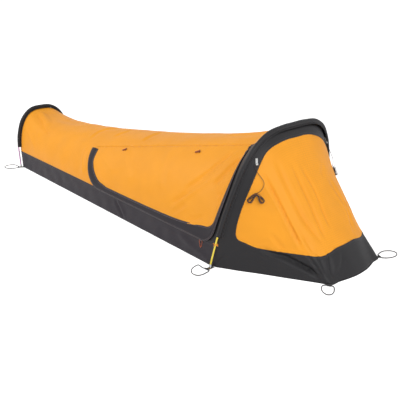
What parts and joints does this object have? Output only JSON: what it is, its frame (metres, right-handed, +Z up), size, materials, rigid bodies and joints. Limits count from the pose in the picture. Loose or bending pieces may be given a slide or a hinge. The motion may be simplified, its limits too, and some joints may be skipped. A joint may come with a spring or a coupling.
{
  "type": "hooped bivvy tent",
  "caption": "Low hooped bivvy tent, pitched: orange cloth, dark skirts and floor, zipped side door with a storm flap, sloping porch, peg loops and tied guy lines.",
  "frame": {"origin": "centre of the footprint on the ground, measured without the cords", "axes": "+X from the foot hoop towards the head hoop and porch, -Y the side with the door, +Z up"},
  "size_m": [2.5876, 1.0846, 0.6096],
  "materials": {
    "orange_cloth": "silicone-coated ripstop, satin",
    "charcoal_cloth": "coated cloth, matte",
    "floor_cloth": "heavy coated floor cloth, low sheen",
    "gold_alloy": "gold anodised tube",
    "mauve_alloy": "mauve anodised tube",
    "tip_steel": "turned",
    "brass_grommet": "pressed, dull",
    "grey_cord": "braided cord",
    "dark_webbing": "woven webbing",
    "white_webbing": "woven webbing",
    "brown_toggle": "oiled",
    "orange_acetal": "moulded",
    "zip_coil": "nylon coil",
    "zip_slider_zinc": "die-cast, grey",
    "orange_pull_cord": "braided cord"
  },
  "bodies": {
    "tent": {"body_hoop_band": "charcoal_cloth", "body_zip_chain": "zip_coil", "canopy": "orange_cloth", "foot_end_panel": "orange_cloth", "foot_pole_1": "mauve_alloy", "foot_pole_2": "mauve_alloy", "foot_pole_3": "mauve_alloy", "foot_shock_cord": "grey_cord", "foot_sleeve": "charcoal_cloth", "foot_tip_far": "tip_steel", "foot_tip_near": "tip_steel", "grommet_foot_far": "brass_grommet", "grommet_foot_near": "brass_grommet", "grommet_head_far": "brass_grommet", "grommet_head_near": "brass_grommet", "groundsheet": "floor_cloth", "guy_tab_far": "white_webbing", "guy_tab_near": "white_webbing", "head_pole_1": "gold_alloy", "head_pole_2": "gold_alloy", "head_pole_3": "gold_alloy", "head_pole_4": "gold_alloy", "head_shock_cord": "grey_cord", "head_sleeve": "charcoal_cloth", "head_tip_far": "tip_steel", "head_tip_near": "tip_steel", "peg_tab_foot_far": "dark_webbing", "peg_tab_foot_near": "dark_webbing", "peg_tab_head_far": "dark_webbing", "peg_tab_head_near": "dark_webbing", "peg_tab_porch_far": "dark_webbing", "peg_tab_porch_near": "dark_webbing", "pole_clip_far": "orange_acetal", "pole_clip_near": "orange_acetal", "porch_canopy": "orange_cloth", "porch_surround": "charcoal_cloth", "skirt_far": "floor_cloth", "skirt_foot": "floor_cloth", "skirt_near": "floor_cloth"},
    "door": {"door_panel": "orange_cloth", "door_flap": "charcoal_cloth", "door_zip_chain": "zip_coil", "toggle_loop_1": "grey_cord", "toggle_loop_2": "grey_cord"},
    "slider": {"zip_slider": "zip_slider_zinc"},
    "pull_cord": {"zip_pull": "orange_pull_cord"},
    "toggle_foot_side": {"toggle_1": "brown_toggle"},
    "toggle_head_side": {"toggle_2": "brown_toggle"},
    "loop_foot_far": {"peg_loop_foot_far": "grey_cord"},
    "loop_foot_near": {"peg_loop_foot_near": "grey_cord"},
    "loop_head_far": {"peg_loop_head_far": "grey_cord"},
    "loop_head_near": {"peg_loop_head_near": "grey_cord"},
    "loop_porch_far": {"peg_loop_porch_far": "grey_cord"},
    "loop_porch_near": {"peg_loop_porch_near": "grey_cord"},
    "guy_near": {"guy_line_near": "grey_cord", "guy_hank_near": "grey_cord"},
    "guy_far": {"guy_line_far": "grey_cord", "guy_hank_far": "grey_cord"}
  },
  "joints": [
    {"name": "door_hinge", "type": "hinge", "parent": "tent", "child": "door", "pos_m": [0.16881, -0.15479, 0.40012], "axis": [-0.9821, -0.0513, -0.1815], "range_deg": [0, 110]},
    {"name": "zip_slide", "type": "slide", "parent": "door", "child": "slider", "axis": [-0.9942, 0.1079, 0.0033], "range_m": [0, 0.85]},
    {"name": "pull_hinge", "type": "hinge", "parent": "slider", "child": "pull_cord", "pos_m": [0.66197, -0.39506, 0.09599], "axis": [-0.9942, 0.1079, 0.0033], "range_deg": [0, 90]},
    {"name": "toggle_1_hinge", "type": "hinge", "parent": "door", "child": "toggle_foot_side", "pos_m": [-0.1028, -0.19516, 0.34012], "axis": [-0.3566, 0.7586, 0.5453], "range_deg": [0, 80]},
    {"name": "toggle_2_hinge", "type": "hinge", "parent": "door", "child": "toggle_head_side", "pos_m": [0.44559, -0.18587, 0.43229], "axis": [-0.3713, 0.7788, 0.5056], "range_deg": [0, 80]},
    {"name": "loop_foot_far_hinge", "type": "hinge", "parent": "tent", "child": "loop_foot_far", "pos_m": [-1.24479, 0.21175, 0.0041], "axis": [0.809, 0.5878, 0], "range_deg": [0, 75]},
    {"name": "loop_foot_near_hinge", "type": "hinge", "parent": "tent", "child": "loop_foot_near", "pos_m": [-1.24479, -0.21175, 0.0041], "axis": [-0.809, 0.5878, 0], "range_deg": [0, 75]},
    {"name": "loop_head_far_hinge", "type": "hinge", "parent": "tent", "child": "loop_head_far", "pos_m": [0.7552, 0.451, 0.0041], "axis": [1, 0, 0], "range_deg": [0, 75]},
    {"name": "loop_head_near_hinge", "type": "hinge", "parent": "tent", "child": "loop_head_near", "pos_m": [0.7552, -0.451, 0.0041], "axis": [-1, 0, 0], "range_deg": [0, 75]},
    {"name": "loop_porch_far_hinge", "type": "hinge", "parent": "tent", "child": "loop_porch_far", "pos_m": [1.22859, 0.20483, 0.0041], "axis": [0.891, -0.454, 0], "range_deg": [0, 75]},
    {"name": "loop_porch_near_hinge", "type": "hinge", "parent": "tent", "child": "loop_porch_near", "pos_m": [1.22859, -0.20483, 0.0041], "axis": [-0.891, -0.454, 0], "range_deg": [0, 75]},
    {"name": "guy_near_hinge", "type": "hinge", "parent": "tent", "child": "guy_near", "pos_m": [0.86699, -0.26199, 0.46711], "axis": [-0.6126, -0.7904, 0], "range_deg": [0, 45]},
    {"name": "guy_far_hinge", "type": "hinge", "parent": "tent", "child": "guy_far", "pos_m": [0.86699, 0.26199, 0.46711], "axis": [0.6126, -0.7904, 0], "range_deg": [0, 45]}
  ]
}
